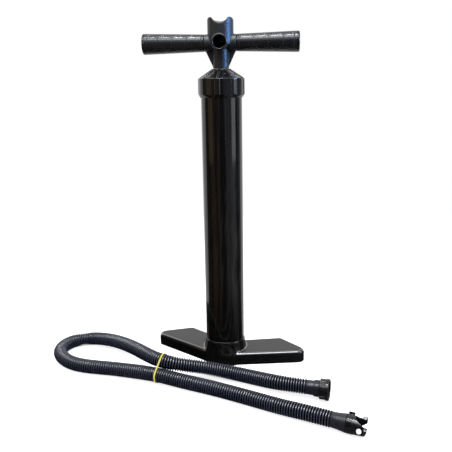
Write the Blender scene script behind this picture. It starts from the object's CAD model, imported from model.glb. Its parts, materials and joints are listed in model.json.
# %% [markdown]
# # A double action hand pump, dressed piece by piece
# The real pump is moulded black plastic: a glossy barrel on a winged foot, a ribbed cap, a satin T handle
# and a loose corrugated hose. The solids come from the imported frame, in metres, standing on z = 0.
# Here each piece that shows gets its soft edges, its moulded detail and its finish. The sizes of the pieces
# are in millimetres, as on a drawing. The hose's route, the camera and the studio are in metres.

# %% Load the frame
import json
import math

import bmesh
import bpy
import numpy as np
from mathutils import Matrix, Vector


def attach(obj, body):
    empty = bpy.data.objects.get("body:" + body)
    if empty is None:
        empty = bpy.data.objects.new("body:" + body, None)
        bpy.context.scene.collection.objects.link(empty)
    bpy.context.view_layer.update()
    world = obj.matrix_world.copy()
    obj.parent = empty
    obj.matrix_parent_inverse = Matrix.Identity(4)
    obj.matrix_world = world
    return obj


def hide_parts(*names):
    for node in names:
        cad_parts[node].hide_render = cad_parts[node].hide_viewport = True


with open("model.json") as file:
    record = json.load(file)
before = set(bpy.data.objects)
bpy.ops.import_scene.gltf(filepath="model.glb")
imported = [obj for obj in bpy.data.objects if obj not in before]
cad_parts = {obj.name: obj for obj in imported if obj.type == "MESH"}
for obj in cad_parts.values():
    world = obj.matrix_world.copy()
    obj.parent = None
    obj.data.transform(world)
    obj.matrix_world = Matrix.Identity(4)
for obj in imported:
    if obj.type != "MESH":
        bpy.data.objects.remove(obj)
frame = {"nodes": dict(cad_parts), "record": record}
bpy.context.view_layer.update()
nodes = frame["nodes"]
MM = 0.001

# %% [markdown]
# ## The camera
# The photograph was taken from a little to the pump's right, at about the height of its cap, looking down
# slightly. The camera was solved from the barrel, the foot and the floor, so it is placed by its three axes
# instead of by eye. A square picture with a 36 mm sensor needs a lens of about 47 mm.

# %% Camera
PITCH, ROLL, YAW, BASE_TURN = (math.radians(a) for a in (13.13, -0.87, 0.24, 18.858))
CAMERA_SPOT = (0.3330, -0.9749, 0.4921)
LENS, SENSOR = 47.11, 36
ahead = Vector((math.sin(YAW) * math.cos(PITCH), math.cos(YAW) * math.cos(PITCH), -math.sin(PITCH)))
level = Vector((math.cos(YAW), -math.sin(YAW), 0))
upward = level.cross(ahead)
right = level * math.cos(ROLL) + upward * math.sin(ROLL)
up = upward * math.cos(ROLL) - level * math.sin(ROLL)
turn = Matrix.Rotation(BASE_TURN, 3, "Z")
axes = Matrix((turn @ right, turn @ up, -(turn @ ahead))).transposed()
bpy.ops.object.select_all(action="DESELECT")
bpy.ops.object.camera_add()
camera = bpy.context.object
camera.data.lens = LENS
camera.data.sensor_width = SENSOR
camera.matrix_world = Matrix.Translation(CAMERA_SPOT) @ axes.to_4x4()
bpy.context.scene.camera = camera
print("camera at", [round(x, 3) for x in camera.location])

# %% [markdown]
# ## The hose
# The hose is one smooth curve of 1.10 m from the swivel nut to the bayonet adaptor. It lies on the floor,
# folds back at the left and climbs over its own front strand where the band holds the two together.
# A corrugated hose is a stack of rounded ribs, so the mesh is a tube whose rings swell and shrink
# along the route. A curve object could not carry the ribs, so the tube is made ring by ring.

# %% Hose route
PUMP_END = (0.1734, -0.104, 0.0175)
VALVE_END = (0.2263, -0.1835, 0.0142)
VALVE_TURN = math.radians(-10)
HOSE_D = 0.025
CURVE_STEPS = 24
pump_dir = Vector((1, 0, 0))
valve_dir = Vector((math.cos(VALVE_TURN), math.sin(VALVE_TURN), 0))


def behind(end, direction, diameters):
    """A point straight behind an end of the hose."""
    return tuple(Vector(end) - diameters * HOSE_D * direction)


ROUTE = [
    PUMP_END, behind(PUMP_END, pump_dir, 1), behind(PUMP_END, pump_dir, 2),
    (0.094, -0.094, 0.014), (0.060, -0.087, 0.013), (0.026, -0.087, 0.0155), (-0.007, -0.093, 0.020),
    (-0.034, -0.105, 0.026), (-0.060, -0.114, 0.0305), (-0.087, -0.112, 0.0325), (-0.115, -0.099, 0.033),
    (-0.145, -0.079, 0.031), (-0.177, -0.058, 0.0265), (-0.210, -0.038, 0.0205), (-0.241, -0.026, 0.0155),
    (-0.268, -0.024, 0.013), (-0.290, -0.035, 0.0125), (-0.303, -0.054, 0.0125), (-0.305, -0.077, 0.0125),
    (-0.296, -0.099, 0.0125), (-0.278, -0.117, 0.0125), (-0.254, -0.130, 0.0125), (-0.228, -0.135, 0.0125),
    (-0.197, -0.133, 0.0125), (-0.166, -0.129, 0.0125), (-0.135, -0.128, 0.0125), (-0.104, -0.129, 0.0135),
    (-0.073, -0.132, 0.0148), (-0.042, -0.136, 0.0135), (-0.011, -0.139, 0.0125), (0.022, -0.143, 0.0125),
    (0.056, -0.149, 0.0125), (0.090, -0.156, 0.0125), (0.122, -0.163, 0.0125), (0.152, -0.170, 0.013),
    behind(VALVE_END, valve_dir, 2), behind(VALVE_END, valve_dir, 1), VALVE_END,
]


def smooth_curve(points, per_step):
    """Points of the even cubic spline that follows the route."""
    p = np.array(points, float)
    p = np.vstack([2 * p[0] - p[1], p, 2 * p[-1] - p[-2]])
    out = []
    for i in range(len(p) - 3):
        t = np.linspace(0, 1, per_step, endpoint=False)[:, None]
        out.append(((1 - t) ** 3 * p[i] + (3 * t**3 - 6 * t**2 + 4) * p[i + 1]
                    + (-3 * t**3 + 3 * t**2 + 3 * t + 1) * p[i + 2] + t**3 * p[i + 3]) / 6)
    return np.vstack(out + [p[-2][None]])


line = smooth_curve(ROUTE, CURVE_STEPS)
along = np.concatenate([[0], np.cumsum(np.linalg.norm(np.diff(line, axis=0), axis=1))])
HOSE_LEN = float(along[-1])
print("hose length", round(HOSE_LEN, 4))

# %% Hose rings
RIBS, SIDES, RIB_DEEP = 258, 28, 0.0026
RIB_SHAPE = [(0.0, 0.0), (0.15, 0.03), (0.21, 0.40), (0.28, 0.76), (0.37, 0.95),
             (0.5, 1.0), (0.63, 0.95), (0.72, 0.76), (0.79, 0.40), (0.85, 0.03)]
LOOK_AROUND = 0.001


def route_at(far):
    """The places on the route at these distances from the pump's end."""
    return np.stack([np.interp(far, along, line[:, i]) for i in range(3)], axis=1)


def unit(vectors):
    return vectors / np.linalg.norm(vectors, axis=1)[:, None]


stations = np.array([(k + phase, height) for k in range(RIBS) for phase, height in RIB_SHAPE] + [(RIBS, 0.0)])
at = stations[:, 0] / RIBS * HOSE_LEN
heading = unit(route_at(at + LOOK_AROUND) - route_at(at - LOOK_AROUND))
across = unit(np.cross([0, 0, 1], heading))
over = np.cross(heading, across)
radius = HOSE_D / 2 - RIB_DEEP * (1 - stations[:, 1])
angle = np.arange(SIDES) * 2 * math.pi / SIDES
outward = np.cos(angle)[None, :, None] * across[:, None] + np.sin(angle)[None, :, None] * over[:, None]
points = route_at(at)[:, None] + radius[:, None, None] * outward
print("hose rings", len(points), "of", SIDES, "points")

# %% Hose mesh
rings = len(points)
faces = [(j * SIDES + k, j * SIDES + (k + 1) % SIDES, (j + 1) * SIDES + (k + 1) % SIDES, (j + 1) * SIDES + k)
         for j in range(rings - 1) for k in range(SIDES)]
faces += [tuple(range(SIDES))[::-1], tuple((rings - 1) * SIDES + k for k in range(SIDES))]
mesh = bpy.data.meshes.new("hose_skin")
mesh.from_pydata(points.reshape(-1, 3).tolist(), [], faces)
rib_height = mesh.attributes.new("rib", "FLOAT", "POINT")
rib_height.data.foreach_set("value", np.repeat(stations[:, 1], SIDES).astype(np.float32))
hose = bpy.data.objects.new("hose_skin", mesh)
bpy.context.collection.objects.link(hose)
for polygon in mesh.polygons:
    polygon.use_smooth = True
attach(hose, "base")
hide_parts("hose")
print("hose faces", len(mesh.polygons))

# %% [markdown]
# ## Small tools of the bench
# Every piece below is made the same way: add a primitive, shape it in edit mode, apply its modifiers, and
# leave the object unturned at the origin. These helpers only save typing, and a few more follow where they
# are first needed. An operator works on whatever is selected, so each one clears the selection first.

# %% Helpers that select and place


def clear_selection():
    if bpy.context.mode != "OBJECT":
        bpy.ops.object.mode_set(mode="OBJECT")
    bpy.ops.object.select_all(action="DESELECT")


def work_on(obj):
    clear_selection()
    obj.select_set(True)
    bpy.context.view_layer.objects.active = obj


def settle(obj, spot=(0, 0, 0), turned=(0, 0, 0)):
    """Turns and moves a piece, then puts its place into its mesh."""
    work_on(obj)
    obj.rotation_euler = [a + b for a, b in zip(obj.rotation_euler, turned)]
    obj.location = Vector(obj.location) + Vector(spot)
    bpy.ops.object.transform_apply(location=True, rotation=True, scale=True)
    return obj


def pick(obj, kind, test):
    """In edit mode, selects the faces, edges or vertices that pass a test on their place and normal."""
    bpy.ops.mesh.select_mode(type=kind)
    bpy.ops.mesh.select_all(action="DESELECT")
    bm = bmesh.from_edit_mesh(obj.data)
    if kind == "FACE":
        for f in bm.faces:
            f.select_set(test(f.calc_center_median() / MM, f.normal))
    elif kind == "EDGE":
        for e in bm.edges:
            e.select_set(all(test(v.co / MM, v.normal) for v in e.verts))
    else:
        for v in bm.verts:
            v.select_set(test(v.co / MM, v.normal))
    bm.select_flush_mode()
    bmesh.update_edit_mesh(obj.data)


# %% Helpers that add a shape
QUARTER = math.pi / 2
FACING = {"X": (0, QUARTER, 0), "Y": (-QUARTER, 0, 0), "Z": (0, 0, 0)}


def rod(r, start, end, axis="Z", sides=96, spot=(0, 0, 0)):
    """A closed cylinder, sizes in mm, from start to end along one axis."""
    clear_selection()
    middle = [(start + end) / 2 if name == axis else 0 for name in "XYZ"]
    bpy.ops.mesh.primitive_cylinder_add(vertices=sides, radius=r * MM, depth=(end - start) * MM,
                                        rotation=FACING[axis],
                                        location=[(m + s) * MM for m, s in zip(middle, spot)])
    return settle(bpy.context.object)


def block(low, high):
    """A box between two corners in mm."""
    clear_selection()
    bpy.ops.mesh.primitive_cube_add(size=1, location=[(a + b) / 2 * MM for a, b in zip(low, high)],
                                    scale=[(b - a) * MM for a, b in zip(low, high)])
    return settle(bpy.context.object)


# %% Helpers that join, cut and copy


def modify(obj, kind, **settings):
    """Adds a modifier with its settings and applies it."""
    work_on(obj)
    modifier = obj.modifiers.new(kind.lower(), kind)
    for key, value in settings.items():
        setattr(modifier, key, value)
    bpy.ops.object.modifier_apply(modifier=modifier.name)
    return obj


def cut(obj, *tools, how="DIFFERENCE"):
    """Cuts each tool out of a piece, adds it or keeps what they share, and throws the tool away."""
    for tool in tools:
        modify(obj, "BOOLEAN", operation=how, object=tool, solver="EXACT")
        bpy.data.objects.remove(tool)
    return obj


def together(*parts):
    """Joins overlapping parts into one object; the remesh that follows welds them."""
    clear_selection()
    for part in parts:
        part.select_set(True)
    bpy.context.view_layer.objects.active = parts[0]
    bpy.ops.object.join()
    return parts[0]


def twin_of(obj):
    """A copy of a part with its own mesh."""
    clear_selection()
    twin = obj.copy()
    twin.data = obj.data.copy()
    bpy.context.collection.objects.link(twin)
    return twin


# %% [markdown]
# ## The foot plate
# The foot is one moulding: two hollow wings swept back from a flared socket. Each wing is the hull of four
# round corners with a rounded top edge. The wing is hollowed from below and keeps three ribs. Wings and
# socket are then welded by a voxel remesh, which also gives the soft fillets where they meet. A boolean
# union would leave a hard seam there.

# %% Foot wings
FOOT_H, FOOT_WALL, FOOT_EDGE = 23.0, 3.0, 7.0
FOOT_CORNERS = [((29.68, -18.55), 11.0), ((130.5, 24.5), 13.5), ((90.0, 54.0), 11.0), ((34.58, 28.0), 11.0)]
WING_RIB_T, WING_RIB_LOW, WING_RIB_ENDS = 2.5, 2.0, (68.6, 93.8, 118.9)
WING_FRONT, WING_BACK = -60, 70
PLENUM_R, PLENUM_H, SOCKET_ROOM_R = 36.0, 12.0, 35.0
UNDER_FLOOR = -1.0


def wing_shape(inset, low):
    """The right wing's body, drawn in by a wall on its sides and top."""
    height = FOOT_H - inset
    wing = together(*[rod(r - inset, low, height, sides=40, spot=(x, y, 0)) for (x, y), r in FOOT_CORNERS])
    bpy.ops.object.mode_set(mode="EDIT")
    bpy.ops.mesh.select_all(action="SELECT")
    bpy.ops.mesh.convex_hull()
    bpy.ops.mesh.select_all(action="SELECT")
    bpy.ops.mesh.dissolve_limited(angle_limit=math.radians(1))
    pick(wing, "EDGE", lambda co, normal: co.z > height - 0.1)
    bpy.ops.mesh.bevel(offset=(FOOT_EDGE - inset) * MM, segments=6, profile=0.5)
    bpy.ops.object.mode_set(mode="OBJECT")
    return wing


wing = cut(wing_shape(0, 0), wing_shape(FOOT_WALL, UNDER_FLOOR))
ribs = []
for end in WING_RIB_ENDS:
    slab = block((end - WING_RIB_T, WING_FRONT, WING_RIB_LOW), (end, WING_BACK, FOOT_H - 1))
    ribs.append(cut(slab, wing_shape(FOOT_WALL / 2, 0), how="INTERSECT"))
wing = together(wing, *ribs)
# Room for the socket, and for the air under its deck
cut(wing, rod(SOCKET_ROOM_R, PLENUM_H, 60), rod(PLENUM_R, -2, PLENUM_H))
left_wing = twin_of(wing)
work_on(left_wing)
bpy.ops.object.mode_set(mode="EDIT")
bpy.ops.mesh.select_all(action="SELECT")
bpy.ops.transform.mirror(constraint_axis=(True, False, False), center_override=(0, 0, 0))
bpy.ops.mesh.flip_normals()
bpy.ops.object.mode_set(mode="OBJECT")
print("wing faces", len(wing.data.polygons))

# %% [markdown]
# The socket is round, so it is drawn as half a section and spun, as on a lathe. A stack of cylinders would
# give its steps, but not the smooth flare.

# %% Helpers that turn, weld and finish
WELD = 0.00001


def draw(places):
    """One point, extruded to each next place in mm. The new object is left in edit mode."""
    clear_selection()
    bpy.ops.mesh.primitive_plane_add(size=MM)
    bpy.ops.object.mode_set(mode="EDIT")
    bpy.ops.mesh.select_mode(type="VERT")
    bpy.ops.mesh.select_all(action="SELECT")
    bpy.ops.mesh.merge(type="CENTER")
    bpy.ops.transform.translate(value=[c * MM for c in places[0]])
    for here, there in zip(places, places[1:]):
        step = [(b - a) * MM for a, b in zip(here, there)]
        bpy.ops.mesh.extrude_region_move(TRANSFORM_OT_translate={"value": step})
    bpy.ops.mesh.select_all(action="SELECT")
    return bpy.context.object


def lathe(profile, steps=128):
    """A profile of (radius, height) in mm, drawn point by point and spun round Z into a closed shell."""
    obj = draw([(r, 0, z) for r, z in profile])
    bpy.ops.mesh.spin(steps=steps, angle=2 * math.pi, center=(0, 0, 0), axis=(0, 0, 1))
    bpy.ops.mesh.select_all(action="SELECT")
    bpy.ops.mesh.remove_doubles(threshold=WELD)
    bpy.ops.mesh.normals_make_consistent(inside=False)
    bpy.ops.object.mode_set(mode="OBJECT")
    return settle(obj)


def mould(obj, voxel, rounds):
    """Welds a joined piece and softens its edges, as a mould does."""
    modify(obj, "REMESH", mode="VOXEL", voxel_size=voxel * MM, use_smooth_shade=True)
    return modify(obj, "SMOOTH", factor=0.5, iterations=rounds)


def finish_piece(obj, name, body, slot, *replaced):
    """Names a piece and tells the frame its body, its finish and the nodes that it stands for."""
    obj.name = obj.data.name = name
    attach(obj, body)
    if replaced:
        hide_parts(*replaced)
    print(name, "faces", len(obj.data.polygons))


# %% Foot socket
FLARE_R, FLARE_OUT, FLARE_STEPS, FLARE_STEP_H = 36.35, 7.15, 14, 3.0
SOCKET_BORE_R, SOCKET_TOP = 33.2, 43.0
SEAT_HOLE_R, DECK_LOW, DECK_TOP = 26.0, 10.0, 14.5
AIR_NOTCHES, NOTCH_HALF, NOTCH_H = (60, 90, 120), 6.0, 3.0
flare = [(FLARE_R + FLARE_OUT * (1 + math.cos(math.pi * k / FLARE_STEPS)) / 2, FLARE_STEP_H * k)
         for k in range(FLARE_STEPS)]
rim = [(36.2, 40.0), (35.7, 41.5), (35.0, SOCKET_TOP)]
socket = lathe([(PLENUM_R, 0), *flare, *rim, (SOCKET_BORE_R, SOCKET_TOP), (SOCKET_BORE_R, DECK_TOP),
                (SEAT_HOLE_R, DECK_TOP), (SEAT_HOLE_R, DECK_LOW), (PLENUM_R, DECK_LOW), (PLENUM_R, 0)])
for degrees in AIR_NOTCHES:
    notch = block((PLENUM_R - 2, -NOTCH_HALF, -2), (PLENUM_R + 11, NOTCH_HALF, NOTCH_H))
    cut(socket, settle(notch, turned=(0, 0, math.radians(degrees))))
foot = mould(together(socket, wing, left_wing), voxel=0.95, rounds=10)
finish_piece(foot, "foot_moulding", "base", "gloss_black", "foot_plate")

# %% [markdown]
# ## The cap
# The screwed cap grips the barrel with a collar that has eight shallow ribs. A fin runs from each rib up the
# cone to the neck, and small air vents lie between the fins. The body is a lathe profile. One rib and one
# fin are modelled and copied round, which is simpler here than an array round an empty.

# %% Cap body
CAP_LOW, CAP_SEAT, CAP_TOP = 476.0, 499.5, 524.0
COLLAR_LOW, CONE_LOW, CONE_TOP = 481.0, 508.5, 521.5
ROD_HOLE_R, NECK_R, COLLAR_R, CAP_LIP_R, CAP_BORE_R = 11.3, 15.5, 38.7, 36.4, 35.1
BOSS_R, BOSS_LOW = 18.0, 493.0
outside = [(ROD_HOLE_R, CAP_TOP), (14.7, CAP_TOP), (NECK_R, 523.2), (NECK_R, CONE_TOP), (36.2, CONE_LOW),
           (38.0, 508.4), (COLLAR_R, 507.6), (COLLAR_R, COLLAR_LOW), (37.2, 478.0), (CAP_LIP_R, 477.8),
           (CAP_LIP_R, CAP_LOW)]
inside = [(CAP_BORE_R, CAP_LOW), (CAP_BORE_R, CAP_SEAT), (BOSS_R, CAP_SEAT), (BOSS_R, BOSS_LOW),
          (ROD_HOLE_R, BOSS_LOW), (ROD_HOLE_R, CAP_TOP)]
cap = lathe(outside + inside)
print("cap body faces", len(cap.data.polygons))

# %% Helpers for flat forms and copies


def sheet(outline, low, high):
    """A flat outline of (x, z) points in mm, filled and given thickness along Y."""
    obj = draw([(x, low, z) for x, z in outline])
    bpy.ops.mesh.edge_face_add()
    bpy.ops.mesh.extrude_region_move(TRANSFORM_OT_translate={"value": (0, (high - low) * MM, 0)})
    bpy.ops.mesh.select_all(action="SELECT")
    bpy.ops.mesh.normals_make_consistent(inside=False)
    bpy.ops.object.mode_set(mode="OBJECT")
    return settle(obj)


def round_copies(obj, count, start=0.0):
    """Copies of a part round Z, the first turned to its start angle."""
    copies = [obj]
    for k in range(1, count):
        copies.append(settle(twin_of(obj), turned=(0, 0, math.radians(start + 360 * k / count))))
    settle(obj, turned=(0, 0, math.radians(start)))
    return copies


# %% Cap ribs, fins and vents
CAP_RIBS, CAP_START = 8, -81.0
CAP_RIB_R, CAP_RIB_HALF, CAP_RIB_ROUND = 39.7, 4.0, 0.7
CAP_RIB_IN, CAP_RIB_LOW, CAP_RIB_TOP = 36.7, 481.2, 508.0
FIN_HALF, VENT_R, VENT_FAR, VENT_ENDS = 1.3, 2.0, 26.1, (505, 530)
rib = block((CAP_RIB_IN, -CAP_RIB_HALF, CAP_RIB_LOW), (CAP_RIB_R, CAP_RIB_HALF, CAP_RIB_TOP))
bpy.ops.object.mode_set(mode="EDIT")
pick(rib, "EDGE", lambda co, normal: co.x > COLLAR_R)
bpy.ops.mesh.bevel(offset=CAP_RIB_ROUND * MM, segments=3)
bpy.ops.object.mode_set(mode="OBJECT")
fin_side = [(14.0, 518.0), (14.0, 523.6), (16.1, 523.4), (37.7, 509.3), (39.3, 507.9), (38.0, 505.0)]
fin = sheet(fin_side, -FIN_HALF, FIN_HALF)
vent = rod(VENT_R, *VENT_ENDS, sides=32, spot=(VENT_FAR, 0, 0))
cut(cap, *round_copies(vent, CAP_RIBS, CAP_START + 180 / CAP_RIBS))
together(cap, *round_copies(rib, CAP_RIBS, CAP_START), *round_copies(fin, CAP_RIBS, CAP_START))
finish_piece(mould(cap, voxel=0.6, rounds=4), "cap_moulding", "base", "gloss_black", "cap")

# %% [markdown]
# ## The handle's centre
# The stem carries a saddle with two horns, between which the hose is hung for storage, two thin gussets under
# the arms and the outlet port in front. Each form is added in the handle's own direction, with its port
# towards -Y. Booleans unite them, so that the bores can be cut through all of them. Then a remesh softens the
# seams, and the handle is turned as it stands in the photograph.

# %% Handle saddle
AXIS_Z = 565.5
SADDLE_R, SADDLE_LOW, SADDLE_SIDE = 21.75, 562.5, 24.0
HORN_R, HORN_X, HORN_Z = 5.3, 16.45, 600.2
TROUGH_R, TROUGH_TILT, TROUGH_Z, TROUGH_ENDS = 13.0, math.radians(11), 608.5, (-70, 90)
BLANK_ENDS, BLANK_HALF = (560.0, 607.0), 30
tip = [(HORN_X + HORN_R * math.cos(a), HORN_Z + HORN_R * math.sin(a)) for a in np.linspace(0, math.pi, 17)]
outline = [(-SADDLE_SIDE, SADDLE_LOW), (SADDLE_SIDE, SADDLE_LOW), (SADDLE_SIDE, HORN_Z), *tip,
           *[(-x, z) for x, z in reversed(tip)], (-SADDLE_SIDE, HORN_Z)]
handle = rod(SADDLE_R, *BLANK_ENDS, sides=128)
cut(handle, sheet(outline, -BLANK_HALF, BLANK_HALF), how="INTERSECT")
trough = settle(rod(TROUGH_R, *TROUGH_ENDS, "Y"), turned=(TROUGH_TILT, 0, 0))
cut(handle, settle(trough, spot=(0, -SADDLE_R * MM, TROUGH_Z * MM)))
print("saddle faces", len(handle.data.polygons))

# %% Handle body
HANDLE_TURN = math.radians(14)
AXIS_SPOT = (0, 0, AXIS_Z)
STEM_R, STEM_LOW, ARM_R, ARM_END = 13.5, 524.5, 14.0, 26.75
GUSSET_OUT, GUSSET_LOW, GUSSET_HIGH, GUSSET_HALF = 26.5, 527.0, 555.0, 2.0
PORT_R, PORT_FACE = 12.75, -30.4
RIDGE_R, RIDGE_W, RIDGES_AT = 13.85, 1.5, (-29.35, -26.15)
PORT_BORE_R, PORT_BORE_ENDS = 10.0, (-40, 0.5)
ROD_SOCKET_R, ROD_SOCKET_ENDS = 11.05, (520, 549)
AIRWAY_R, AIRWAY_ENDS = 9.0, (540, AXIS_Z)
stem = rod(STEM_R, STEM_LOW, AXIS_Z)
arms = rod(ARM_R, -ARM_END, ARM_END, "X", spot=AXIS_SPOT)
gusset = [(0, GUSSET_LOW), (STEM_R, GUSSET_LOW), (GUSSET_OUT, GUSSET_HIGH), (GUSSET_OUT, AXIS_Z), (0, AXIS_Z)]
gussets = [sheet([(side * x, z) for x, z in gusset], -GUSSET_HALF, GUSSET_HALF) for side in (-1, 1)]
port = rod(PORT_R, PORT_FACE, 0, "Y", spot=AXIS_SPOT)
ridges = [rod(RIDGE_R, y, y + RIDGE_W, "Y", spot=AXIS_SPOT) for y in RIDGES_AT]
cut(handle, stem, arms, port, *gussets, *ridges, how="UNION")
cut(handle, rod(PORT_BORE_R, *PORT_BORE_ENDS, "Y", spot=AXIS_SPOT), rod(ROD_SOCKET_R, *ROD_SOCKET_ENDS),
    rod(AIRWAY_R, *AIRWAY_ENDS))
mould(handle, voxel=0.55, rounds=6)
settle(handle, turned=(0, 0, HANDLE_TURN))
finish_piece(handle, "handle_moulding", "handle", "satin_black", "handle_body")

# %% [markdown]
# The mouth of the outlet port ends in a rounded lip, which is a little glossier than the handle. It could be
# part of the handle's mesh, but a remesh would blur it, so it is a ring of its own with a half-round section.

# %% Lip of the outlet port
LIP_R, LIP_ROUND, LIP_ROOT, LIP_FACE = 11.38, 1.33, -2.0, -30.37


def smooth_by_angle(obj, degrees):
    work_on(obj)
    bpy.ops.object.shade_smooth_by_angle(angle=math.radians(degrees))
    return obj


bow = [(LIP_R - LIP_ROUND * math.cos(a), LIP_ROUND * math.sin(a)) for a in np.linspace(0, math.pi, 13)]
root_in, root_out = (LIP_R - LIP_ROUND, LIP_ROOT), (LIP_R + LIP_ROUND, LIP_ROOT)
lip = lathe([root_in, *bow, root_out, root_in], 96)
settle(lip, turned=(QUARTER, 0, 0))
settle(lip, spot=(0, LIP_FACE * MM, AXIS_Z * MM))
settle(lip, turned=(0, 0, HANDLE_TURN))
finish_piece(smooth_by_angle(lip, 60), "outlet_lip", "handle", "satin_black")

# %% [markdown]
# ## The grips
# Each grip is a tapered sleeve with broad six-sided pads divided by fine grooves. The sleeve is a fine lathe
# grid. A vertex that lies near the line between its nearest pad centre and the next one is pushed in, so the
# grooves are real, where a bump would look flat at the edge of the sleeve. The pads sit like bricks: every
# second row is moved by half a pad.

# %% Pads of the grips
GRIP_IN, GRIP_OUT, GRIP_LENGTH = 14.0, 17.0, 100.75
PAD_LENGTH, PAD_START, PAD_ROWS = 24.0, 5.25, 4


def edge_of_pads(down, angle):
    """How far a place on the sleeve lies from the nearest line between two pads, in mm."""
    width = math.pi * (GRIP_IN + GRIP_OUT) / PAD_ROWS
    across = angle / (2 * math.pi) * PAD_ROWS
    row = np.round(across)
    places = []
    for step in (-1, 0, 1):
        shift = PAD_START + np.mod(row + step, 2) * PAD_LENGTH / 2
        cell = np.round((down - shift) / PAD_LENGTH)
        for move in (-1, 0, 1):
            places.append(((cell + move) * PAD_LENGTH + shift - down, (row + step - across) * width))
    xs, ys = (np.stack([place[k] for place in places]) for k in (0, 1))
    reach = np.hypot(xs, ys)
    order = np.argsort(reach, axis=0)

    def ranked(values, rank):
        return np.take_along_axis(values, order[rank:rank + 1], axis=0)[0]

    apart = np.hypot(ranked(xs, 1) - ranked(xs, 0), ranked(ys, 1) - ranked(ys, 0))
    return (ranked(reach, 1) ** 2 - ranked(reach, 0) ** 2) / (2 * apart)


print("pad rows", PAD_ROWS, "along a grip", round(GRIP_LENGTH / PAD_LENGTH, 1))

# %% Grips
GRIP_BORE_R, GRIP_SKIN_R, GRIP_RINGS, GRIP_SIDES = 11.6, 12.2, 216, 200
GRIP_ROUND, GRIP_BREAK = 1.4, 0.6
GROOVE_HALF, GROOVE_DEEP, GROOVE_SHARP = 0.65, 0.45, 0.7
PAD_LIMITS = (3.0, GRIP_LENGTH - 5.5)
NO_GROOVE = 9.0
ARMS = (("right", 0.0), ("left", math.pi))


def grip_flank(z):
    """The sleeve's radius at a distance from its inner end, which is rounded."""
    taper = GRIP_IN + (GRIP_OUT - GRIP_IN) * z / GRIP_LENGTH
    return taper - GRIP_ROUND * max(0.0, 1 - z / GRIP_ROUND) ** 2


def grip_sleeve():
    flank = [(grip_flank(z), z) for z in np.linspace(0.0, GRIP_LENGTH, GRIP_RINGS)]
    flank[-1] = (GRIP_OUT - GRIP_BREAK, GRIP_LENGTH)
    grip = lathe([(GRIP_BORE_R, 0.0), *flank, (GRIP_BORE_R, GRIP_LENGTH), (GRIP_BORE_R, 0.0)], GRIP_SIDES)
    co = np.empty(len(grip.data.vertices) * 3, np.float32)
    grip.data.vertices.foreach_get("co", co)
    co = co.reshape(-1, 3).astype(float)
    far, down = np.hypot(co[:, 0], co[:, 1]) / MM, co[:, 2] / MM
    edge = edge_of_pads(down, np.mod(np.arctan2(co[:, 1], co[:, 0]), 2 * math.pi))
    near = np.where((down > PAD_LIMITS[0]) & (down < PAD_LIMITS[1]), edge, NO_GROOVE)
    for ring in PAD_LIMITS:
        near = np.minimum(near, np.abs(down - ring))
    push = GROOVE_DEEP * np.clip(1 - near / GROOVE_HALF, 0, 1) ** GROOVE_SHARP
    push[far <= GRIP_SKIN_R] = 0
    co[:, :2] *= ((far - push) / far)[:, None]
    grip.data.vertices.foreach_set("co", co.astype(np.float32).ravel())
    groove = grip.data.attributes.new("groove", "FLOAT", "POINT")
    groove.data.foreach_set("value", (push / GROOVE_DEEP).astype(np.float32))
    grip.data.update()
    return smooth_by_angle(grip, 50)


def on_arm(obj, out, half_turn):
    """Lays a piece that was made round Z along an arm, so far out from the handle's middle."""
    settle(obj, turned=(0, QUARTER, 0))
    settle(obj, spot=(out * MM, 0, 0))
    return settle(obj, spot=(0, 0, AXIS_Z * MM), turned=(0, 0, HANDLE_TURN + half_turn))


for side, half_turn in ARMS:
    grip = on_arm(grip_sleeve(), ARM_END, half_turn)
    finish_piece(grip, side + "_grip_sleeve", "handle", "satin_black", side + "_grip")

# %% [markdown]
# ## The end caps
# A push-in plug closes each grip. Only its rounded disc shows. A shallow ring groove on the face stands for
# the mark that the mould's ejector leaves. A bevelled cylinder would do for the disc, but one profile gives
# the round edge and the ring together.

# %% End caps
DISC_R, DISC_T, DISC_ROUND, DISC_BREAK = 17.0, 3.5, 2.0, 0.4
MARK_R, MARK_HALF, MARK_DEEP = 9.0, 0.4, 0.3
bends = [math.radians(a) for a in range(0, 91, 15)]
curve = [(DISC_R - DISC_ROUND + DISC_ROUND * math.cos(a), DISC_T - DISC_ROUND + DISC_ROUND * math.sin(a))
         for a in bends]
mark = [(MARK_R + MARK_HALF, DISC_T), (MARK_R, DISC_T - MARK_DEEP), (MARK_R - MARK_HALF, DISC_T)]
for side, half_turn in ARMS:
    back = [(0.0, 0.0), (DISC_R - DISC_BREAK, 0.0), (DISC_R, DISC_BREAK)]
    disc = lathe([*back, *curve, *mark, (0.0, DISC_T)], 96)
    on_arm(disc, ARM_END + GRIP_LENGTH, half_turn)
    finish_piece(smooth_by_angle(disc, 40), side + "_end_disc", "handle", "gloss_black", side + "_end_cap")

# %% [markdown]
# ## The pump end of the hose
# A cuff is glued over the hose. In front of its ring the swivel nut turns freely. The nut has six square
# finger pockets and a plain rim at its open mouth. Inside the mouth are the coarse thread's rings. Both are
# turned upright, because a profile is easy to read that way, and then laid at the end of the hose.

# %% Pump cuff
CUFF_BORE_R = 9.5
CUFF_START = [(CUFF_BORE_R, 0), (11.2, 0), (11.6, 0.5)]
PUMP_RING_R, PUMP_CUFF_LEN = 13.4, 22.0
RING_NOTCHES, RING_NOTCH_HALF = 12, 0.8
RING_NOTCH_IN, RING_NOTCH_OUT, RING_NOTCH_BACK = 12.7, 14.6, 14.5


def at_pump_end(obj):
    settle(obj, turned=(0, QUARTER, 0))
    return settle(obj, spot=PUMP_END)


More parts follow.
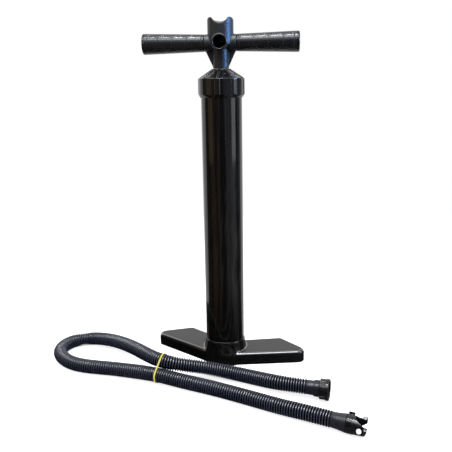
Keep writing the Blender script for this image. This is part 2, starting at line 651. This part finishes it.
cuff = lathe([*CUFF_START, (11.7, 6.0), (11.9, 12.5), (13.0, 13.0), (PUMP_RING_R, 13.6), (PUMP_RING_R, 21.4),
              (13.0, PUMP_CUFF_LEN), (CUFF_BORE_R, PUMP_CUFF_LEN), CUFF_START[0]])
notch = block((RING_NOTCH_IN, -RING_NOTCH_HALF, RING_NOTCH_BACK),
              (RING_NOTCH_OUT, RING_NOTCH_HALF, PUMP_CUFF_LEN + 1))
cut(cuff, *round_copies(notch, RING_NOTCHES))
finish_piece(smooth_by_angle(at_pump_end(cuff), 40), "pump_cuff", "base", "satin_black", "hose_pump_cuff")

# %% Swivel nut
NUT_R, NUT_BACK, NUT_MOUTH = 17.3, 22.3, 37.3
NUT_NECK_R, NUT_SEAT_R, NUT_BORE_R = 11.25, 13.6, 14.25
NUT_SEAT, NUT_STEP = 26.2, 30.5
POCKETS, POCKET_HALF, POCKET_FLOOR, POCKET_OUT = 6, 5.25, 15.4, 19
POCKET_BACK, POCKET_END = 20, 32.3
THREAD_H, THREAD_TOPS = 0.5, (36.2, 33.4)
ridge = [(NUT_BORE_R, 0), (NUT_BORE_R - THREAD_H, 0.3), (NUT_BORE_R - THREAD_H, 1.0), (NUT_BORE_R, 1.3)]
thread = [(r, top - down) for top in THREAD_TOPS for r, down in ridge]
nut = lathe([(NUT_NECK_R, NUT_BACK), (16.0, NUT_BACK), (17.0, 22.8), (NUT_R, 23.5), (NUT_R, 36.4),
             (16.7, NUT_MOUTH), (NUT_BORE_R, NUT_MOUTH), *thread, (NUT_BORE_R, NUT_STEP),
             (NUT_SEAT_R, NUT_STEP), (NUT_SEAT_R, NUT_SEAT), (NUT_NECK_R, NUT_SEAT), (NUT_NECK_R, NUT_BACK)])
pocket = block((POCKET_FLOOR, -POCKET_HALF, POCKET_BACK), (POCKET_OUT, POCKET_HALF, POCKET_END))
cut(nut, *round_copies(pocket, POCKETS, 180 / POCKETS))
mould(nut, voxel=0.38, rounds=3)
finish_piece(at_pump_end(nut), "swivel_nut_moulding", "swivel_nut", "gloss_black", "hose_nut")

# %% [markdown]
# ## The valve end of the hose
# The other cuff flares to the bayonet adaptor, which lies a little rolled. Its nose is cut off on a slant, so
# that a wide prong with a round window is left in front, and behind it a finger with a lug at its tip. It
# starts as a turned sleeve, and booleans take the openings out of it, as a cutter would.

# %% Valve cuff
VALVE_CUFF_LEN = 23.5


def at_valve_end(obj):
    settle(obj, turned=(0, QUARTER, VALVE_TURN))
    return settle(obj, spot=VALVE_END)


cuff = lathe([*CUFF_START, (12.2, 9.3), (13.2, 17.4), (13.9, 21.6), (14.0, 23.0), (13.6, VALVE_CUFF_LEN),
              (CUFF_BORE_R, VALVE_CUFF_LEN), CUFF_START[0]])
finish_piece(smooth_by_angle(at_valve_end(cuff), 40), "valve_cuff", "base", "satin_black", "hose_valve_cuff")

# %% Bayonet adaptor
ADAPTOR_ROLL = math.radians(-31)
ADAPTOR_R, ADAPTOR_BACK, ADAPTOR_TIP = 14.0, 23.7, 50.5
ADAPTOR_BORE_R, SEAL_SEAT = 10.0, 29.5
KEY_HALF, KEY_OUT, KEY_IN, KEY_BACK, KEY_END = 3.5, -17.6, -12.2, 24.0, 32.3
LUG_HALF, LUG_IN, LUG_OUT, LUG_BACK, LUG_END = 3.25, 10.5, 15.8, 44.0, 50.4
LUG_TURN = math.radians(152)
WINDOW_R, WINDOW_TILT, WINDOW_SIDE, WINDOW_ALONG = 3.9, math.radians(-12), 7.2, 41.7
adaptor = lathe([(CUFF_BORE_R, ADAPTOR_BACK), (13.5, ADAPTOR_BACK), (ADAPTOR_R, 24.3), (ADAPTOR_R, 31.9),
                 (13.5, 32.5), (13.6, 32.7), (12.5, 49.5), (12.1, 50.2), (11.8, ADAPTOR_TIP),
                 (ADAPTOR_BORE_R, ADAPTOR_TIP), (ADAPTOR_BORE_R, SEAL_SEAT), (CUFF_BORE_R, SEAL_SEAT),
                 (CUFF_BORE_R, ADAPTOR_BACK)])
key = block((KEY_OUT, -KEY_HALF, KEY_BACK), (KEY_IN, KEY_HALF, KEY_END))
lug = block((LUG_IN, -LUG_HALF, LUG_BACK), (LUG_OUT, LUG_HALF, LUG_END))
settle(lug, turned=(0, 0, LUG_TURN))
slant = sheet([(-15.0, 36.0), (-9.5, 36.0), (0.8, 51.0), (-15.0, 51.0)], -15, 4)
slit = sheet([(0.0, 40.5), (0.8, 51.5), (-7.5, 51.5)], 0, 15)
window = settle(rod(WINDOW_R, -25, 25, "Y", 48), turned=(WINDOW_TILT, 0, 0))
settle(window, spot=(WINDOW_SIDE * MM, 0, WINDOW_ALONG * MM))
cut(adaptor, key, how="UNION")
cut(adaptor, slant, slit)
cut(adaptor, lug, how="UNION")
cut(adaptor, window)
mould(adaptor, voxel=0.38, rounds=3)
settle(adaptor, turned=(0, 0, ADAPTOR_ROLL))
finish_piece(at_valve_end(adaptor), "bayonet_adaptor", "base", "gloss_black", "valve_adaptor")

# %% [markdown]
# ## The yellow band
# A plain rubber band holds the two strands together. It is a short tube without ends. Half of its points are
# moved across to the other strand, which makes a long loop, and then it gets its thickness.

# %% Band
BAND_FRONT = (-0.0782, -0.1316, 0.01433)
BAND_REACH, BAND_LEAN, BAND_TURN = 26.0, math.radians(41.6), math.radians(-6.1)
BAND_R, BAND_HALF, BAND_T, BAND_BREAK = 13.1, 1.5, 0.8, 0.25
band = rod(BAND_R, -BAND_HALF, BAND_HALF, "X", 64)
bpy.ops.object.mode_set(mode="EDIT")
pick(band, "FACE", lambda co, normal: abs(normal.x) > 0.9)
bpy.ops.mesh.delete(type="FACE")
pick(band, "VERT", lambda co, normal: co.y > 0.01)
bpy.ops.transform.translate(value=(0, BAND_REACH * MM, 0))
bpy.ops.object.mode_set(mode="OBJECT")
settle(band, spot=BAND_FRONT, turned=(BAND_LEAN, 0, BAND_TURN))
modify(band, "SOLIDIFY", thickness=BAND_T * MM, offset=0.0)
modify(band, "BEVEL", width=BAND_BREAK * MM, segments=2)
finish_piece(smooth_by_angle(band, 40), "yellow_band", "base", "band_yellow", "hose_band")

# %% [markdown]
# The hose isn't joined to the pump and could be laid otherwise. The frame is told so: where it starts, how
# long and thick it is, how it lies, and which pieces go along with it.

# %% Hose as a cord
print("cord declared, points", len(line))

# %% [markdown]
# ## Shared surface effects
# All the plastics share three effects, so each is a node group: the skin of a moulding (slow tone changes, a
# fine grain), the hairline scratches of handling, and dust that has settled on faces that look upwards.
# A group gives out only values that change over the surface, and each material mixes them in its own way.

# %% Node helpers


def put(tree, kind, values=(), **settings):
    """Adds a node with its settings, and sets or links its inputs."""
    node = tree.nodes.new("ShaderNode" + kind)
    for key, value in settings.items():
        setattr(node, key, value)
    for key, value in dict(values).items():
        if isinstance(value, bpy.types.NodeSocket):
            tree.links.new(value, node.inputs[key])
        else:
            node.inputs[key].default_value = value
    return node


def remap(tree, value, low, high, to_low=0.0, to_high=1.0):
    return put(tree, "MapRange", {0: value, 1: low, 2: high, 3: to_low, 4: to_high}).outputs[0]


def blend(tree, factor, one, two):
    """A colour between two colours."""
    return put(tree, "Mix", {0: factor, 6: one, 7: two}, data_type="RGBA").outputs[2]


def calc(tree, operation, one, two):
    return put(tree, "Math", {0: one, 1: two}, operation=operation).outputs[0]


def noise(tree, place, scale, detail):
    return put(tree, "TexNoise", {"Vector": place, "Scale": scale, "Detail": detail}).outputs[0]


def place_on(tree):
    """The place on the piece, in its own coordinates."""
    return put(tree, "TexCoord").outputs["Object"]


def upwardness(tree, vector):
    """How far a vector points up, or lies up."""
    return put(tree, "SeparateXYZ", {0: vector}).outputs[2]


def new_group(name, inputs, outputs):
    group = bpy.data.node_groups.new(name, "ShaderNodeTree")
    for label, value in inputs.items():
        socket = group.interface.new_socket(label, in_out="INPUT", socket_type="NodeSocketFloat")
        socket.default_value = value
    for label in outputs:
        group.interface.new_socket(label, in_out="OUTPUT", socket_type="NodeSocketFloat")
    entry, leave = group.nodes.new("NodeGroupInput"), group.nodes.new("NodeGroupOutput")
    return group, entry.outputs, leave.inputs


# %% Moulded skin
SKIN_INPUTS = {"Grain": 700.0, "Flow": 14.0, "Stretch": 1.0}
skin, given, shown = new_group("moulded_skin", SKIN_INPUTS, ["Tone", "Rough", "Height"])
squeeze = put(skin, "CombineXYZ", {0: 1.0, 1: 1.0, 2: given["Stretch"]}).outputs[0]
drawn = put(skin, "VectorMath", {0: place_on(skin), 1: squeeze}, operation="MULTIPLY").outputs[0]
slow = noise(skin, drawn, given["Flow"], 3.0)
patchy = noise(skin, drawn, calc(skin, "MULTIPLY", given["Flow"], 5.0), 4.0)
skin.links.new(remap(skin, slow, 0.3, 0.7), shown["Tone"])
skin.links.new(remap(skin, patchy, 0.3, 0.7), shown["Rough"])
skin.links.new(noise(skin, drawn, given["Grain"], 2.0), shown["Height"])
print("group", skin.name, len(skin.nodes))

# %% Hairline scratches
SCRATCH_TURNS = ((0.3, 0.5, 0.2), (1.1, -0.4, 0.9))
SCRATCH_STRETCH = (1.0, 0.03, 1.0)
hairlines, given, shown = new_group("hairlines", {"Fineness": 260.0, "Spread": 9.0}, ["Scratch"])
place = place_on(hairlines)
marks = []
for turned in SCRATCH_TURNS:
    leaning = {"Vector": place, "Rotation": turned, "Scale": SCRATCH_STRETCH}
    lean = put(hairlines, "Mapping", leaning).outputs[0]
    marks.append(remap(hairlines, noise(hairlines, lean, given["Fineness"], 1.0), 0.70, 0.74))
where = noise(hairlines, place, given["Spread"], 2.0)
both = calc(hairlines, "MAXIMUM", marks[0], marks[1])
hairlines.links.new(calc(hairlines, "MULTIPLY", both, remap(hairlines, where, 0.48, 0.62)), shown["Scratch"])
print("group", hairlines.name, len(hairlines.nodes))

# %% Settled dust
FILM_SCALE = 25.0
dust, given, shown = new_group("settled_dust", {"Speck": 420.0, "Amount": 0.3}, ["Dust"])
place = place_on(dust)
facing = upwardness(dust, put(dust, "NewGeometry").outputs["Normal"])
specks = remap(dust, noise(dust, place, given["Speck"], 4.0), 0.60, 0.72, 0.0, 0.7)
film = remap(dust, noise(dust, place, FILM_SCALE, 3.0), 0.35, 0.7, 0.0, 0.5)
lying = calc(dust, "MULTIPLY", remap(dust, facing, 0.55, 0.98), given["Amount"])
dust.links.new(calc(dust, "MULTIPLY", lying, calc(dust, "ADD", specks, film)), shown["Dust"])
print("group", dust.name, len(dust.nodes))

# %% [markdown]
# ## The finishes
# Each finish is one material. Most are black plastic: what tells them apart is how sharp the reflections are,
# the grain, and the direction in which the piece was made. The barrel is drawn, so its skin is stretched
# along Z and has slow waves. The tops of the wings have the fine satin texture that stops a foot from
# slipping, and the rounded edges below them are rubbed to a polish, which is a clear coat in the shader.

# %% Finish helpers
DUST = (0.16, 0.155, 0.15, 1)


def new_finish(name, **constants):
    """A material with a Principled shader, and its constants set on the shader's own sockets."""
    material = bpy.data.materials.new(name)
    material.use_nodes = True
    tree = material.node_tree
    shader = tree.nodes["Principled BSDF"]
    for key, value in constants.items():
        shader.inputs[key.replace("_", " ")].default_value = value
    return material, tree, shader


def use(tree, group, values=()):
    node = tree.nodes.new("ShaderNodeGroup")
    node.node_tree = group
    for key, value in dict(values).items():
        node.inputs[key].default_value = value
    return node.outputs


def two_tone(tree, factor, dark, light):
    return blend(tree, factor, (*dark, 1), (*light, 1))


def dusted(tree, colour, lying):
    return blend(tree, lying, colour, DUST)


def set_surface(tree, shader, colour, rough, height, depth, strength=0.3):
    """Links a colour, a roughness and a bump, and gives back the bump's node."""
    tree.links.new(colour, shader.inputs["Base Color"])
    tree.links.new(rough, shader.inputs["Roughness"])
    bump = put(tree, "Bump", {"Height": height, "Distance": depth, "Strength": strength})
    tree.links.new(bump.outputs[0], shader.inputs["Normal"])
    return bump


# %% Plastic, with satin tops or slow waves
SCRATCH_ROUGH, DUST_ROUGH = 0.14, 0.4
EDGE_POLISH, EDGE_IOR = 0.04, 2.2
WING_TOP, WING_CLEAR = 0.026, 0.030
WAVE_STRETCH, WAVE_SCALE = (1.0, 1.0, 0.16), 34.0


def satin_tops(tree, shader, rough, satin):
    """Makes level faces satin and polishes the rounded edges of the wings. Gives back the roughness."""
    facing = upwardness(tree, put(tree, "NewGeometry").outputs["Normal"])
    top = remap(tree, facing, 0.93, 0.995)
    low = remap(tree, upwardness(tree, place_on(tree)), WING_TOP, WING_CLEAR, 1.0, 0.0)
    edge = calc(tree, "MULTIPLY", remap(tree, facing, 0.35, 0.60), calc(tree, "SUBTRACT", low, top))
    tree.links.new(edge, shader.inputs["Coat Weight"])
    shader.inputs["Coat Roughness"].default_value = EDGE_POLISH
    shader.inputs["Coat IOR"].default_value = EDGE_IOR
    return calc(tree, "MAXIMUM", rough, calc(tree, "MULTIPLY", top, satin))


def slow_waves(tree, depth):
    """The long, shallow waves of a drawn tube, as a normal."""
    spot = put(tree, "Mapping", {"Vector": place_on(tree), "Scale": WAVE_STRETCH}).outputs[0]
    swell = noise(tree, spot, WAVE_SCALE, 2.0)
    return put(tree, "Bump", {"Height": swell, "Distance": depth, "Strength": 1.0}).outputs[0]


def plastic(name, dark, light, roughness, grain, depth, stretch=1.0, dusty=0.12, satin=0.0, waves=0.0):
    """Moulded plastic, from its two tones, its two roughnesses and its grain."""
    material, tree, shader = new_finish(name, IOR=1.5)
    made = use(tree, skin, {"Grain": grain, "Stretch": stretch})
    scratch = use(tree, hairlines)["Scratch"]
    lying = use(tree, dust, {"Amount": dusty})["Dust"]
    colour = dusted(tree, two_tone(tree, made["Tone"], dark, light), lying)
    sharp = remap(tree, made["Rough"], 0.0, 1.0, *roughness)
    marked = calc(tree, "ADD", sharp, calc(tree, "MULTIPLY", scratch, SCRATCH_ROUGH))
    if satin:
        marked = satin_tops(tree, shader, marked, satin)
    worn = calc(tree, "ADD", marked, calc(tree, "MULTIPLY", lying, DUST_ROUGH))
    bump = set_surface(tree, shader, colour, worn, made["Height"], depth)
    if waves:
        tree.links.new(slow_waves(tree, waves), bump.inputs["Normal"])
    print(name, len(tree.nodes), "nodes")
    return material


# %% Black plastics
barrel_black = plastic("barrel_black", (0.0016, 0.0015, 0.0015), (0.0032, 0.0030, 0.0030), (0.05, 0.10),
                       grain=260.0, depth=0.00002, stretch=0.06, waves=0.0004)
foot_black = plastic("foot_black", (0.0018, 0.0018, 0.0018), (0.0036, 0.0036, 0.0036), (0.05, 0.09),
                     grain=800.0, depth=0.00002, dusty=0.05, satin=0.34)
cap_black = plastic("cap_black", (0.0018, 0.0018, 0.0018), (0.0040, 0.0040, 0.0040), (0.10, 0.18),
                    grain=800.0, depth=0.00003)
handle_black = plastic("handle_black", (0.0060, 0.0060, 0.0070), (0.0105, 0.0105, 0.0120), (0.40, 0.50),
                       grain=1100.0, depth=0.00006)
nut_black = plastic("nut_black", (0.0020, 0.0020, 0.0022), (0.0045, 0.0045, 0.0050), (0.14, 0.22),
                    grain=900.0, depth=0.00003, dusty=0.05)
cuff_black = plastic("cuff_black", (0.0060, 0.0068, 0.0120), (0.0100, 0.0115, 0.0190), (0.26, 0.34),
                     grain=1000.0, depth=0.00005)

# %% [markdown]
# The grips are a softer black. Their pads shine a little from use and the grooves stay dull, so the groove
# attribute of the mesh drives both colour and roughness.

# %% Grip plastic
GROOVE_BLACK, GROOVE_ROUGH = (0.002, 0.002, 0.002, 1), 0.3
grip_black, tree, shader = new_finish("grip_black", IOR=1.5)
made = use(tree, skin, {"Grain": 1300.0})
groove = put(tree, "Attribute", attribute_name="groove").outputs["Fac"]
tone = two_tone(tree, made["Tone"], (0.0045, 0.0045, 0.0052), (0.0085, 0.0085, 0.0095))
colour = blend(tree, remap(tree, groove, 0.1, 1.0, 0.0, 0.8), tone, GROOVE_BLACK)
lying = use(tree, dust, {"Amount": 0.2})["Dust"]
sharp = remap(tree, made["Rough"], 0.0, 1.0, 0.20, 0.29)
rough = calc(tree, "ADD", sharp, calc(tree, "MULTIPLY", groove, GROOVE_ROUGH))
set_surface(tree, shader, dusted(tree, colour, lying), rough, made["Height"], 0.00008, 0.35)
print("grip finish", len(tree.nodes), "nodes")

# %% [markdown]
# The hose is dark navy plastic. Only the crests of its ribs are rubbed glossy, which a clear coat gives, and
# the valleys between them stay dull and nearly black. The rib attribute of its mesh tells the two apart.

# %% Hose plastic
VALLEY = (0.0008, 0.0010, 0.0020, 1)
hose_navy, tree, shader = new_finish("hose_navy", Specular_IOR_Level=0.1, Coat_Roughness=0.2, Coat_IOR=2.1)
made = use(tree, skin, {"Grain": 900.0, "Flow": 20.0})
rib = put(tree, "Attribute", attribute_name="rib").outputs["Fac"]
crest = two_tone(tree, made["Tone"], (0.023, 0.030, 0.060), (0.033, 0.041, 0.078))
colour = blend(tree, remap(tree, rib, 0.70, 0.98), VALLEY, crest)
tree.links.new(remap(tree, rib, 0.70, 0.97), shader.inputs["Coat Weight"])
lying = use(tree, dust, {"Amount": 0.05})["Dust"]
sharp = remap(tree, made["Rough"], 0.0, 1.0, 0.19, 0.27)
rough = calc(tree, "ADD", sharp, remap(tree, rib, 0.0, 1.0, 0.25, 0.0))
set_surface(tree, shader, dusted(tree, colour, lying), rough, made["Height"], 0.00004)
print("hose finish", len(tree.nodes), "nodes")

# %% [markdown]
# The pieces that rarely show, inside the barrel and the hose's ends, get their own plain finishes: rubber
# rings, a drawn alloy rod, plated steel and white bearing plastic. The band's yellow rubber is made with
# them.

# %% Inner finishes


def rubber(name, dark, light, smooth, rough):
    material, tree, shader = new_finish(name, IOR=1.52)
    made = use(tree, skin, {"Grain": 1500.0, "Flow": 40.0})
    lying = use(tree, dust, {"Amount": 0.4})["Dust"]
    colour = dusted(tree, two_tone(tree, made["Tone"], dark, light), lying)
    dull = remap(tree, made["Rough"], 0.0, 1.0, smooth, rough)
    set_surface(tree, shader, colour, dull, made["Height"], 0.0001, 0.4)
    return material


def metal(name, dark, light, smooth, rough, stretch):
    material, tree, shader = new_finish(name, Metallic=1.0)
    made = use(tree, skin, {"Grain": 900.0, "Flow": 30.0, "Stretch": stretch})
    scratch = use(tree, hairlines, {"Fineness": 400.0})["Scratch"]
    sharp = remap(tree, made["Rough"], 0.0, 1.0, smooth, rough)
    marked = calc(tree, "ADD", sharp, calc(tree, "MULTIPLY", scratch, 0.15))
    set_surface(tree, shader, two_tone(tree, made["Tone"], dark, light), marked, made["Height"], 0.00003)
    return material


seal_rubber = rubber("seal_rubber", (0.012, 0.012, 0.012), (0.022, 0.022, 0.022), 0.55, 0.75)
band_yellow = rubber("band_yellow", (0.62, 0.53, 0.06), (0.70, 0.62, 0.11), 0.42, 0.58)
rod_alloy = metal("rod_alloy", (0.66, 0.67, 0.69), (0.77, 0.78, 0.80), 0.20, 0.34, 0.03)
plated_steel = metal("plated_steel", (0.52, 0.53, 0.55), (0.64, 0.65, 0.67), 0.25, 0.40, 1.0)
white_plastic = plastic("white_plastic", (0.70, 0.70, 0.66), (0.80, 0.80, 0.77), (0.35, 0.48),
                        grain=700.0, depth=0.00005)
print("inner finishes", [m.name for m in (seal_rubber, band_yellow, rod_alloy, plated_steel, white_plastic)])

# %% [markdown]
# A CAD node takes the finish of its slot in the record. The barrel is the one large node that still shows,
# so it has a finish of its own. The new pieces are listed by name.

# %% Give every piece its finish
BY_SLOT = {
    "gloss_black": cap_black, "satin_black": handle_black, "hose_navy": hose_navy, "seal_rubber": seal_rubber,
    "rod_alloy": rod_alloy, "plated_steel": plated_steel, "white_plastic": white_plastic,
    "band_yellow": band_yellow,
}
NEW_PIECES = {
    "foot_moulding": foot_black, "cap_moulding": cap_black, "handle_moulding": handle_black,
    "outlet_lip": nut_black, "left_grip_sleeve": grip_black, "right_grip_sleeve": grip_black,
    "left_end_disc": nut_black, "right_end_disc": nut_black, "hose_skin": hose_navy, "pump_cuff": cuff_black,
    "swivel_nut_moulding": nut_black, "valve_cuff": cuff_black, "bayonet_adaptor": nut_black,
    "yellow_band": band_yellow,
}
SLOTS = {part["node"]: part["material_slot"] for part in frame["record"]["subparts"]}


def wear(obj, material):
    obj.data.materials.clear()
    obj.data.materials.append(material)


for name, node in nodes.items():
    wear(node, barrel_black if name == "barrel" else BY_SLOT[SLOTS[name]])
for name, material in NEW_PIECES.items():
    wear(bpy.data.objects[name], material)
print("finished pieces", len(nodes) + len(NEW_PIECES))

# %% [markdown]
# ## Floor, backdrop and light
# The floor and the world look white to the camera and in reflections, and the floor still takes a soft
# shadow. A glossy black barrel shows what stands around it, so the studio matters more than the lamps. A dark
# screen curves round the camera's side, a dark card lies on the floor before it, and a small card lies close
# to the left wing. Only reflections see them. The key and a long strip light the pump from above, soft panels
# stand at both sides, and a small blue one tints the saddle's right side.

# %% Floor
TO_CAMERA, TO_RIGHT = Vector((0.323, -0.946, 0)), Vector((0.948, 0.319, 0))
FLOOR_SIDE, FLOOR_BACK, FLOOR_Z = 1.7, 0.40, -0.0005
FLOOR_PALE, FLOOR_GLOW = (0.85, 0.85, 0.85, 1), 0.80
WHITE = (1, 1, 1, 1)


def bare_material(name):
    material = bpy.data.materials.new(name)
    material.use_nodes = True
    tree = material.node_tree
    tree.nodes.clear()
    return material, tree, put(tree, "OutputMaterial"), put(tree, "LightPath").outputs


clear_selection()
bpy.ops.mesh.primitive_plane_add(size=1, rotation=(0, 0, math.atan2(TO_RIGHT.y, TO_RIGHT.x)))
floor = bpy.context.object
floor.name = "floor"
floor.scale = (FLOOR_SIDE, FLOOR_SIDE, 1)
floor.location = TO_CAMERA * -FLOOR_BACK
floor.location.z = FLOOR_Z
material, tree, leave, ray = bare_material("pale_floor")
matt = put(tree, "BsdfDiffuse", {"Color": FLOOR_PALE}).outputs[0]
bright = put(tree, "Emission", {"Color": WHITE, "Strength": 1.0}).outputs[0]
glow = put(tree, "Emission", {"Color": WHITE, "Strength": FLOOR_GLOW}).outputs[0]
seen = put(tree, "AddShader", {0: glow, 1: matt}).outputs[0]
mirrored = calc(tree, "MAXIMUM", ray["Is Glossy Ray"], ray["Is Transmission Ray"])
look = put(tree, "MixShader", {0: ray["Is Camera Ray"], 1: matt, 2: seen}).outputs[0]
look = put(tree, "MixShader", {0: mirrored, 1: look, 2: bright}).outputs[0]
tree.links.new(look, leave.inputs[0])
wear(floor, material)
print("floor", [round(x, 2) for x in floor.dimensions])

# %% Dark surroundings
SCREEN_FAR, SCREEN_H, SCREEN_SIDES = 1.9, 2.6, 180
SCREEN_SPAN = (-104, 117)
CARD_Z = -0.0003
NEAR_CARD_FAR, NEAR_CARD_Z, NEAR_CARD_SPAN = 0.32, -0.0002, (-145, -103)


def bearing(co):
    """The angle of a place to the right of the camera, in degrees, seen from the barrel."""
    return math.degrees(math.atan2(co.xy.dot(TO_RIGHT.xy), co.xy.dot(TO_CAMERA.xy)))


def keep_between(name, span):
    """Names the new screen or card and keeps its faces between two bearings."""
    obj = bpy.context.object
    obj.name = name
    bpy.ops.object.mode_set(mode="EDIT")
    pick(obj, "FACE", lambda co, normal: not span[0] < bearing(co) < span[1])
    bpy.ops.mesh.delete(type="FACE")
    bpy.ops.object.mode_set(mode="OBJECT")
    print(name, "faces", len(obj.data.polygons))
    return obj


def floor_card(name, far, height, span):
    clear_selection()
    bpy.ops.mesh.primitive_circle_add(vertices=SCREEN_SIDES, radius=far, fill_type="TRIFAN",
                                      location=(0, 0, height))
    return keep_between(name, span)


clear_selection()
bpy.ops.mesh.primitive_cylinder_add(vertices=SCREEN_SIDES, radius=SCREEN_FAR, depth=SCREEN_H,
                                    location=(0, 0, SCREEN_H / 2), end_fill_type="NOTHING")
screen = keep_between("dark_screen", SCREEN_SPAN)
card = floor_card("dark_card", SCREEN_FAR, CARD_Z, SCREEN_SPAN)
near_card = floor_card("near_card", NEAR_CARD_FAR, NEAR_CARD_Z, NEAR_CARD_SPAN)

# %% [markdown]
# What the barrel mirrors is a room with dim and bright stretches. A photograph of a room could light it, but
# a ramp of colours round the screen is enough for a curved barrel. Noise makes the borders sway.

# %% Room in the reflections
ROOM = [(-104, (0.10, 0.09, 0.08)), (-75, (0.04, 0.03, 0.02)), (-50, (0.30, 0.20, 0.12)),
        (-36, (0.03, 0.03, 0.03)), (-20, (0.28, 0.22, 0.19)), (-6, (0.03, 0.03, 0.03)),
        (10, (0.03, 0.03, 0.03)), (26, (0.36, 0.36, 0.38)), (40, (0.22, 0.22, 0.24)),
        (65, (0.58, 0.59, 0.62)), (90, (0.05, 0.05, 0.05)), (117, (0.30, 0.31, 0.32))]
SWAY_SCALE, SWAY = 2.6, 0.26
material, tree, leave, ray = bare_material("dim_room")
spot = place_on(tree)
across = put(tree, "VectorMath", {0: spot, 1: TO_RIGHT}, operation="DOT_PRODUCT").outputs["Value"]
toward = put(tree, "VectorMath", {0: spot, 1: TO_CAMERA}, operation="DOT_PRODUCT").outputs["Value"]
turned = calc(tree, "ARCTAN2", across, toward)
swayed = calc(tree, "ADD", turned, remap(tree, noise(tree, spot, SWAY_SCALE, 2.0), 0.25, 0.75, -SWAY, SWAY))
ramp = put(tree, "ValToRGB", {0: remap(tree, swayed, -math.pi, math.pi)})
stops = ramp.color_ramp.elements
for stop in list(stops)[1:]:
    stops.remove(stop)
for k, (degrees, colour) in enumerate(ROOM):
    place = degrees / 360 + 0.5
    stop = stops[0] if k == 0 else stops.new(place)
    stop.position = place
    stop.color = (*colour, 1)
far = put(tree, "VectorMath", {0: spot}, operation="LENGTH").outputs["Value"]
dim = remap(tree, far, 0.12, 0.5, 0.12, 1.0)
gloom = put(tree, "Emission", {"Color": ramp.outputs[0], "Strength": dim}).outputs[0]
unseen = put(tree, "BsdfTransparent").outputs[0]
look = put(tree, "MixShader", {0: ray["Is Glossy Ray"], 1: unseen, 2: gloom}).outputs[0]
tree.links.new(look, leave.inputs[0])
for obj in (screen, card, near_card):
    wear(obj, material)
print("room stops", len(stops))

# %% Lamps
BEFORE_FOOT, MIDDLE, UPPER_MIDDLE, NECK, SADDLE = (
    (0, -0.1, 0.02), (0, 0, 0.3), (0, 0, 0.35), (0, 0, 0.55), (0, 0, 0.58))


def round_about(degrees, far, height):
    """A place seen from the barrel at an angle to the right of the camera."""
    a = math.radians(degrees)
    return (TO_CAMERA * math.cos(a) + TO_RIGHT * math.sin(a)) * far + Vector((0, 0, height))


def panel(name, place, target, size, watts, tint, spread=180):
    """A soft box of (width, height) that looks at a target. A small spread narrows its light to a beam."""
    clear_selection()
    bpy.ops.object.light_add(type="AREA", location=place)
    lamp = bpy.context.object
    lamp.name = name
    lamp.data.shape = "RECTANGLE"
    lamp.data.size, lamp.data.size_y = size
    lamp.data.energy = watts
    lamp.data.color = tint
    lamp.data.spread = math.radians(spread)
    lamp.rotation_euler = (Vector(target) - Vector(place)).to_track_quat("-Z", "Y").to_euler()


panel("key", round_about(-14, 0.30, 1.75), MIDDLE, (0.45, 0.12), 11.0, (0.92, 0.95, 1.0))
panel("high_left_panel", round_about(-75, 0.9, 1.5), BEFORE_FOOT, (1.0, 0.8), 7.0, (0.88, 0.93, 1.0))
panel("front_panel", round_about(0, 1.10, 1.70), NECK, (1.2, 1.4), 8.0, (0.88, 0.92, 1.0))
panel("strip", round_about(-8, 0.80, 1.65), BEFORE_FOOT, (1.7, 0.28), 13.6, (0.92, 0.95, 1.0))
panel("right_panel", round_about(68, 1.6, 0.9), UPPER_MIDDLE, (0.8, 1.6), 5.6, (0.93, 0.96, 1.0))
panel("left_panel", round_about(-68, 1.6, 0.9), UPPER_MIDDLE, (0.9, 1.6), 1.7, (1.0, 0.74, 0.46))
panel("blue_panel", round_about(75, 0.8, 0.75), SADDLE, (0.30, 0.30), 0.8, (0.15, 0.43, 1.0), spread=40)

# %% World
FILL = (0.25, 0.25, 0.26, 1)
world = bpy.data.worlds.new("studio")
bpy.context.scene.world = world
world.use_nodes = True
tree = world.node_tree
tree.nodes.clear()
ray = put(tree, "LightPath").outputs
mirrored = calc(tree, "MAXIMUM", ray["Is Glossy Ray"], ray["Is Transmission Ray"])
seen = calc(tree, "MAXIMUM", ray["Is Camera Ray"], mirrored)
fill = put(tree, "Background", {"Color": FILL, "Strength": 1.0}).outputs[0]
white = put(tree, "Background", {"Color": WHITE, "Strength": 1.0}).outputs[0]
leave = put(tree, "OutputWorld")
tree.links.new(put(tree, "MixShader", {0: seen, 1: fill, 2: white}).outputs[0], leave.inputs[0])
bpy.context.scene.view_settings.view_transform = "Standard"
print("world nodes", len(tree.nodes))

# %% [markdown]
# ## The sizes
# The dressed pump has to keep the size of the solids, so both boxes are written down before the end.

# %% Compare the sizes and finish
bpy.context.view_layer.update()
